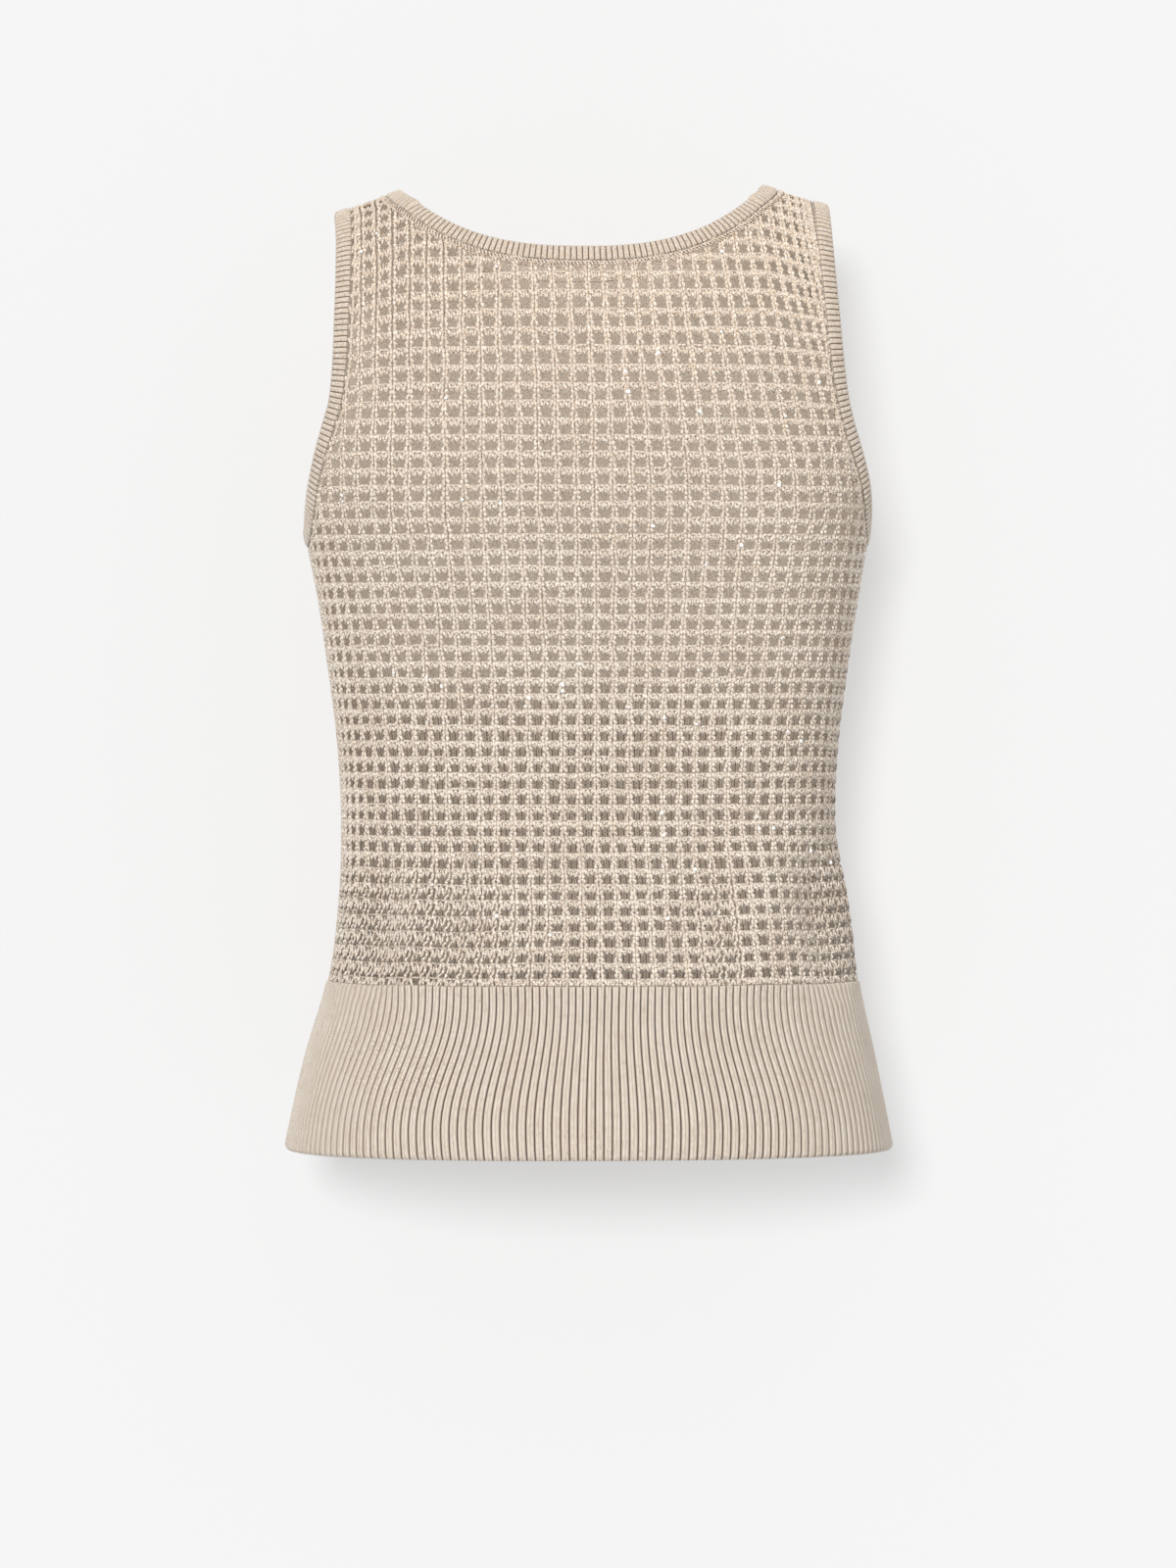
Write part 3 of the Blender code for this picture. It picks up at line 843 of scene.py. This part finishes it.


# Colours of the yarn and of the painted shade on it, and the grain of its dye, flecks and fuzz, in
# noise scales
CREAM = (0.86, 0.765, 0.65)
CREAM_DEEP = (0.78, 0.665, 0.545)
CREAM_PALE = (0.94, 0.87, 0.77)
SHOULDER_SHADE_CREAM = (0.86, 0.71, 0.556)  # painted shade: the darker, warmer colour that the yarn turns to towards the shoulders
SHOULDER_SHADE_FROM, SHOULDER_SHADE_TO = -0.20, -0.02  # heights in metres over which the painted shoulder shade comes in
INSIDE_SHADE = 0.12  # how much painted shade an inner side takes
# the yarn's dark flecks, and painted shade on yarn sides, in slits and on inner sides
DARK_FLECK_AND_SHADE = (0.27, 0.16, 0.095)
# painted shade in the grooves between stitch columns and between the stitches' legs
GROOVE_SHADE = (0.20, 0.13, 0.085)
DYE_GRAIN, PALE_GRAIN, DARK_GRAIN, FUZZ_GRAIN = 38, 760, 950, 1500
BUMP_DEPTH, BUMP_STRENGTH = 0.0005, 0.8


def knit_coordinates(tree):
    mark = tree.nodes.new("ShaderNodeUVMap")
    mark.uv_map = "knit"
    apart = tree.nodes.new("ShaderNodeSeparateXYZ")
    tree.links.new(mark.outputs["UV"], apart.inputs[0])
    place = tree.nodes.new("ShaderNodeTexCoord").outputs["Object"]
    return apart.outputs[0], apart.outputs[1], place


def yarn_tint(tree, place, flecks, patches=1.0):
    """The yarn's uneven dye: broad pale and darker patches, and fine pale and dark flecks; and painted
    shade that turns it darker and warmer towards the shoulders.
    """
    broad = spread(tree, noise(tree, place, DYE_GRAIN, 2), 0.35, 0.68)
    pale = spread(tree, noise(tree, place, PALE_GRAIN, 1), 0.48, 0.66)
    dark = spread(tree, noise(tree, place, DARK_GRAIN, 1), 0.55, 0.68)
    dark = times(tree, dark, flecks)
    tone = mixed(tree, times(tree, broad, patches), CREAM, CREAM_DEEP)
    apart = tree.nodes.new("ShaderNodeSeparateXYZ")
    tree.links.new(place, apart.inputs[0])
    # painted shade: darker and warmer towards the shoulders
    tone = mixed(tree, spread(tree, apart.outputs[2], SHOULDER_SHADE_FROM, SHOULDER_SHADE_TO), tone, SHOULDER_SHADE_CREAM)
    return mixed(tree, dark, mixed(tree, pale, tone, CREAM_PALE), DARK_FLECK_AND_SHADE)


STITCH_LENGTH = 2.9  # in millimetres, along a yarn of the net
STITCH_LEAN = 0.3
PLIES = 0.8  # of the yarn's twist, to a millimetre


def yarn_material(name):
    """Looped yarn: slanting stitches with painted shade in slits between them, fuzz, and painted shade
    on the yarn's sides.
    """
    material, tree, shader = knit_nodes(name, CREAM, 0.82, 0.25)
    beside, along, place = knit_coordinates(tree)
    # painted shade on the yarn's sides, from the first mark
    painted_side_shade = maths(tree, "POWER", maths(tree, "ABSOLUTE", beside), 3.0)
    leant = times(tree, beside, STITCH_LEAN)
    slant = plus(tree, times(tree, along, 1 / STITCH_LENGTH), leant)
    stroke = maths(tree, "ABSOLUTE", maths(tree, "SUBTRACT", maths(tree, "FRACT", slant), 0.5))
    # painted shade in slanting slits between the stitches
    painted_slit_shade = times(tree, spread(tree, stroke, 0.33, 0.47), 0.55)
    painted_shade = maths(tree, "MAXIMUM", times(tree, painted_side_shade, 0.4), painted_slit_shade)
    tint = mixed(tree, painted_shade, yarn_tint(tree, place, 0.65), DARK_FLECK_AND_SHADE)
    tree.links.new(tint, shader.inputs["Base Color"])
    turns = plus(tree, leant, times(tree, along, PLIES))
    plies = maths(tree, "SINE", times(tree, turns, TURN))
    fuzz = noise(tree, place, FUZZ_GRAIN, 2)
    bumped(tree, shader, plus(tree, times(tree, plies, 0.35), fuzz))
    return material


LEG_SLOPE = 2.2  # how far a stitch's legs fall from the column's edge to its middle
LEG_CENTRE = 0.13  # the half width of the line down its middle


# depth sets how strong the painted shade between the stitches' legs is, and groove_share how wide the
# painted groove shade at a column's edges is
def stitch_material(name, groove_share, depth, flecks, patches=1.0):
    """Columns of V stitches, one column to each step across, with painted shade in the grooves between
    columns and between the stitches' legs on outer sides, and painted shade on inner sides.
    """
    material, tree, shader = knit_nodes(name, CREAM, 0.85, 0.25)
    across, down, place = knit_coordinates(tree)
    inside = maths(tree, "FRACT", across)
    off = maths(tree, "ABSOLUTE", maths(tree, "SUBTRACT", inside, 0.5))
    leant = times(tree, off, LEG_SLOPE)
    slant = maths(tree, "SUBTRACT", down, leant)
    leg = maths(tree, "SINE", times(tree, slant, TURN))
    leg = plus(tree, times(tree, leg, 0.5), 0.5)
    height = times(tree, leg, spread(tree, off, 0.0, LEG_CENTRE))
    outside = spread(tree, down, -INSIDE / 2, -INSIDE / 4)
    # painted shade between the stitches' legs, where they lie low, on outer sides only
    painted_gap_shade = maths(tree, "SUBTRACT", 1.0, spread(tree, height, 0.0, 0.4))
    painted_gap_shade = times(tree, times(tree, painted_gap_shade, depth), outside)
    toned = mixed(tree, painted_gap_shade, yarn_tint(tree, place, flecks, patches), GROOVE_SHADE)
    # painted shade in the groove at each column's edges, on outer sides only
    edge = spread(tree, off, 0.5 - groove_share, 0.5 - groove_share / 4)
    toned = mixed(tree, times(tree, edge, outside), toned, GROOVE_SHADE)
    # painted shade over an inner side
    shaded = times(tree, outside, INSIDE_SHADE)
    shaded = maths(tree, "SUBTRACT", INSIDE_SHADE, shaded)
    toned = mixed(tree, shaded, toned, DARK_FLECK_AND_SHADE)
    tree.links.new(toned, shader.inputs["Base Color"])
    fuzz = times(tree, noise(tree, place, FUZZ_GRAIN, 2), 0.5)
    bumped(tree, shader, plus(tree, height, fuzz))
    return material


SEQUINS = 64
SEQUIN_SIDES = 6
SEQUIN_RADII = (0.0008, 0.0014)
SEQUIN_LIFT, SEQUIN_CROWN, SEQUIN_DEPTH = 0.0015, 0.0003, 0.00035
SEQUIN_TILT = 0.35


def sequins(name, knitting, outline, material):
    """Tiny bright discs caught in the cords here and there."""
    mesh, sides = Mesh(), SEQUIN_SIDES
    cord = rng.integers(-HALF_COLUMNS + 1, HALF_COLUMNS, SEQUINS).astype(float)
    row = rng.uniform(2, knitting.last - 1, SEQUINS)
    angles, travels = knitting.place(cord + rng.uniform(-0.1, 0.1, SEQUINS), row)
    kept = within(outline, np.stack([angles, travels], axis=1))
    angles, travels = angles[kept], travels[kept]
    centres = cloth(knitting.face, angles, travels, np.full(len(angles), SEQUIN_LIFT))
    normals = outward(knitting.face, angles, travels)
    turns = np.arange(sides)[:, None] / sides * TURN
    for centre, normal in zip(centres, normals):
        normal = unit(normal + rng.normal(0, SEQUIN_TILT, 3))
        first = unit(np.cross(normal, (0.0, 0.0, 1.0)))
        ring = np.cos(turns) * first + np.sin(turns) * np.cross(normal, first)
        ring = centre + rng.uniform(*SEQUIN_RADII) * ring
        top = centre + SEQUIN_CROWN * normal
        faces = [(k, (k + 1) % sides, 2 * sides) for k in range(sides)]
        faces += [(k, k + sides, (k + 1) % sides + sides, (k + 1) % sides) for k in range(sides)]
        faces.append(tuple(range(2 * sides - 1, sides - 1, -1)))
        mesh.add(np.concatenate([ring, ring - SEQUIN_DEPTH * normal, [top]]), faces)
    return mesh.build(name, material)


# Seams round an edge: how far into the knitting, how high, period, sway and yarn in metres, and
# the share of painted shade at the yarn's sides. Under the neck band a wide crossing pair lies over
# level yarns.
ARM_SEAM = (0.0019, 0.0008, 0.0030, 0.0005, 0.0006, 1.0)
NECK_SEAM = (
    (0.0008, -0.0003, 0.0100, 0.0001, 0.0009, 0.8),
    (0.0026, -0.0003, 0.0100, 0.0001, 0.0009, 0.8),
    (0.0016, 0.0011, 0.0040, 0.0013, 0.00058, 1.1),
)
# Seams down the cloth: how many steps, how high, period, sway and yarn in metres
SIDE_SEAM = (90, 0.0008, 0.0034, 0.0006, 0.0007)
SHOULDER_SEAM = (12, 0.0009, 0.0032, 0.0006, 0.0007)
SIDE_SEAM_TOP, SIDE_SEAM_END = 0.02, 0.004  # how far past the armhole and short of the hem
BESIDE_SEAM = 0.01  # the turn off a side seam at which the cloth's normal is taken
NECK_RIBS, ARM_RIBS = 90, 75  # to a face
SEQUIN_COLOUR, SEQUIN_ROUGHNESS, SEQUIN_GLOSS = (0.95, 0.94, 0.92), 0.18, 0.8


def edge_seam(mesh, edge, off, high, period, sway, yarn, shade):
    points, normals = edge
    line = points - off * band_frame(points, normals) + high * normals
    seam_chain(mesh, line, normals, True, period, sway, yarn, shade)


def cloth_seams(mesh, side):
    """The side seam and the shoulder seam of one side."""
    steps, high, *chain = SIDE_SEAM
    top, low = travel_of(ARM_DROP) - SIDE_SEAM_TOP, travel_of(HEM_DROP) - SIDE_SEAM_END
    travels = np.linspace(top, low, steps)
    angles = np.full(steps, side * QUARTER)
    normals = outward(BACK, angles - side * BESIDE_SEAM, travels)
    seam_chain(mesh, cloth(BACK, angles, travels) + high * normals, normals, False, *chain)
    steps, high, *chain = SHOULDER_SEAM
    travels = np.full(steps, SEAM_TURN)
    angles = angle_at(np.linspace(NECK_X, ARM_X, steps) * side, travels)
    normals = np.tile([0.0, 0.0, 1.0], (steps, 1))
    seam_chain(mesh, cloth(BACK, angles, travels) + high * normals, normals, False, *chain)


def build_top():
    """Every piece of the top and what it rides on, with the imported parts hidden."""
    yarn = yarn_material("net_yarn")
    rib = stitch_material("rib_stitches", 0.14, 0.7, 0.5, 0.5)
    plain = stitch_material("plain_stitches", 0.13, 0.65, 0.25, 0.4)
    band = stitch_material("band_stitches", 0.16, 0.5, 0.4)
    back = Knitting(BACK)
    outline = net_outline(BACK)
    splits = [back.last + BARS_AT + round(back.row_at(drop) - back.last) for drop in SPLIT_DROPS]
    rows = [0.0, *splits, back.last]
    nets = [
        net_piece(f"back_net_{word}", back, outline, rows[k], rows[k + 1], yarn)
        for k, word in enumerate(("upper", "middle", "lower"))
    ]
    plain_front = plain_panel("front_plain_knit", Knitting(FRONT), net_outline(FRONT), plain)
    hems = {
        BACK: hem_piece("back_hem_ribbing", BACK, rib),
        FRONT: hem_piece("front_hem_ribbing", FRONT, rib),
    }
    steps = NECK_RIBS * BAND_RIB_SAMPLES
    neck = closed_edge(
        [(BACK, backwards(neck_line(BACK, steps))), (FRONT, neck_line(FRONT, steps))]
    )
    neck_piece = band_piece("neck_band_ribbing", *neck, band)
    arms, chain, steps = {}, Mesh(), ARM_RIBS * BAND_RIB_SAMPLES
    for side, word in ((LEFT, "left"), (RIGHT, "right")):
        up, down = (FRONT, BACK) if side == RIGHT else (BACK, FRONT)
        edge = closed_edge(
            [(up, backwards(arm_line(up, side, steps))), (down, arm_line(down, side, steps))]
        )
        arms[side] = band_piece(f"armhole_band_{word}_ribbing", *edge, band)
        edge_seam(chain, edge, *ARM_SEAM)
    for row in NECK_SEAM:
        edge_seam(chain, neck, *row)
    for side in (LEFT, RIGHT):
        cloth_seams(chain, side)
    chain_piece = chain.build("linking_seams", yarn_material("seam_yarn"))
    bright, _, shader = knit_nodes("sequin_gloss", SEQUIN_COLOUR, SEQUIN_ROUGHNESS, 0.0)
    shader.inputs["Specular IOR Level"].default_value = SEQUIN_GLOSS
    specks = sequins("sequins", back, outline, bright)

    pieces = [*nets, plain_front, *hems.values(), neck_piece, *arms.values(), chain_piece, specks]
    for piece in pieces:
        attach(piece, "root")
    for net in nets:
        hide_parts("back_panel")
    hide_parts("front_panel")
    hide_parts("back_hem_rib")
    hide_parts("front_hem_rib")
    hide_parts("neck_band")
    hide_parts("armhole_band_left")
    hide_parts("armhole_band_right")


PALE = 0.925  # the ground's brightness in the photo
AMBIENT = 0.62
FLOOR_HALF, FLOOR_LEVEL, FLOOR_ALBEDO = 2.6, -1.6, 0.9
WALL_Y, WALL_HALF, WALL_LOW, WALL_HIGH = 0.150, 0.5, -0.9, 0.25
# Lamps, as suns: azimuth from behind the camera and elevation in degrees, strength, softness
KEY = (-30, 24, 2.2, 16)
FILL = (42, 5, 0.75, 50)
THROUGH = (-5, 3, 2.7, 30)  # only on the front's inside, evenly, through the net
BEHIND = (160, 35, 1.2, 40)
SHADOW = (-9, 9, 2.4, 10)  # only on the backdrop
BACKDROP_ALBEDO = 0.33
SHADOW_LIGHT = SHADOW[2] * math.cos(math.radians(SHADOW[1])) ** 2 / math.pi
# What the backdrop gives off by itself, so that it is as pale as the ground where it is lit
BACKDROP_GLOW = PALE - BACKDROP_ALBEDO * (AMBIENT + SHADOW_LIGHT)


def sun(name, azimuth, elevation, strength, softness, lights):
    data = bpy.data.lights.new(name, "SUN")
    data.energy = strength
    data.angle = math.radians(softness)
    lamp = bpy.data.objects.new(name, data)
    a, e = math.radians(azimuth), math.radians(elevation)
    away = Vector((math.sin(a) * math.cos(e), -math.cos(a) * math.cos(e), math.sin(e)))
    lamp.rotation_euler = away.to_track_quat("Z", "Y").to_euler()
    lamp.light_linking.receiver_collection = lights
    bpy.context.scene.collection.objects.link(lamp)


def receivers(name, state, *objects):
    """The objects that a light falls on, or the only ones that it leaves out."""
    lit = bpy.data.collections.new(name)
    for k, each in enumerate(objects):
        lit.objects.link(each)
        lit.collection_objects[k].light_linking.link_state = state
    return lit


def flat_piece(name, corners, material):
    mesh = bpy.data.meshes.new(name)
    mesh.from_pydata(corners, [], [(0, 1, 2, 3)])
    mesh.materials.append(material)
    sheet = bpy.data.objects.new(name, mesh)
    bpy.context.scene.collection.objects.link(sheet)
    return sheet


def paper(name, albedo):
    material = bpy.data.materials.new(name)
    material.use_nodes = True
    shader = material.node_tree.nodes["Principled BSDF"]
    shader.inputs["Base Color"].default_value = (albedo, albedo, albedo, 1)
    shader.inputs["Roughness"].default_value = 1.0
    shader.inputs["Specular IOR Level"].default_value = 0.0
    return material, material.node_tree, shader


def backdrop():
    """A sheet close behind the top that shows only its shadow, and only from the front."""
    material, tree, shader = paper("backdrop_paper", BACKDROP_ALBEDO)
    shader.inputs["Emission Color"].default_value = (1, 1, 1, 1)
    shader.inputs["Emission Strength"].default_value = BACKDROP_GLOW
    clear = tree.nodes.new("ShaderNodeBsdfTransparent")
    choose = tree.nodes.new("ShaderNodeMixShader")
    behind = tree.nodes.new("ShaderNodeNewGeometry").outputs["Backfacing"]
    tree.links.new(behind, choose.inputs[0])
    tree.links.new(shader.outputs[0], choose.inputs[1])
    tree.links.new(clear.outputs[0], choose.inputs[2])
    tree.links.new(choose.outputs[0], tree.nodes["Material Output"].inputs["Surface"])
    low, high = WALL_LOW, WALL_HIGH
    corners = [(-WALL_HALF, low), (WALL_HALF, low), (WALL_HALF, high), (-WALL_HALF, high)]
    wall = flat_piece("backdrop", [(x, WALL_Y, z) for x, z in corners], material)
    wall.visible_shadow = wall.visible_diffuse = wall.visible_glossy = False
    wall.visible_transmission = False
    return wall


def set_stage():
    scene = bpy.context.scene
    material, _, _ = paper("floor_paper", FLOOR_ALBEDO)
    corners = [(-1, -1), (1, -1), (1, 1), (-1, 1)]
    corners = [(x * FLOOR_HALF, y * FLOOR_HALF, FLOOR_LEVEL) for x, y in corners]
    floor = flat_piece("floor", corners, material)
    floor.visible_diffuse = False
    wall = backdrop()
    world = bpy.data.worlds.new("studio")
    world.use_nodes = True
    tree = world.node_tree
    ground = tree.nodes["Background"]
    ground.inputs["Color"].default_value = (1, 1, 1, 1)
    seen = tree.nodes.new("ShaderNodeLightPath").outputs["Is Camera Ray"]
    strength = plus(tree, times(tree, seen, PALE - AMBIENT), AMBIENT)
    tree.links.new(strength, ground.inputs["Strength"])
    scene.world = world
    front = bpy.data.objects["front_plain_knit"]
    outside = receivers("outside_light", "EXCLUDE", wall, front)
    sun("key", *KEY, outside)
    sun("fill", *FILL, outside)
    sun("through_the_net", *THROUGH, receivers("front_light", "INCLUDE", front))
    sun("behind", *BEHIND, receivers("studio_light", "EXCLUDE", wall))
    sun("shadow", *SHADOW, receivers("backdrop_light", "INCLUDE", wall))
    scene.view_settings.view_transform = "Standard"


CAMERA_DISTANCE, CAMERA_HEIGHT = 4.2, -0.250
CAMERA_TURN = math.radians(3.0)
SENSOR = 36
FRAME_HEIGHT = 0.864  # of what the photo frames at the top, in metres
FRAME_SHIFT = -130 / 1600


def set_camera():
    data = bpy.data.cameras.new("camera")
    camera = bpy.data.objects.new("camera", data)
    bpy.context.scene.collection.objects.link(camera)
    x, y = -math.sin(CAMERA_TURN), -math.cos(CAMERA_TURN)
    camera.location = (CAMERA_DISTANCE * x, CAMERA_DISTANCE * y, CAMERA_HEIGHT)
    camera.rotation_euler = (QUARTER, 0, -CAMERA_TURN)
    data.sensor_fit = "VERTICAL"
    data.sensor_height = SENSOR
    data.lens = SENSOR * CAMERA_DISTANCE / FRAME_HEIGHT
    data.shift_y = FRAME_SHIFT
    bpy.context.scene.camera = camera


set_camera()
build_top()
set_stage()
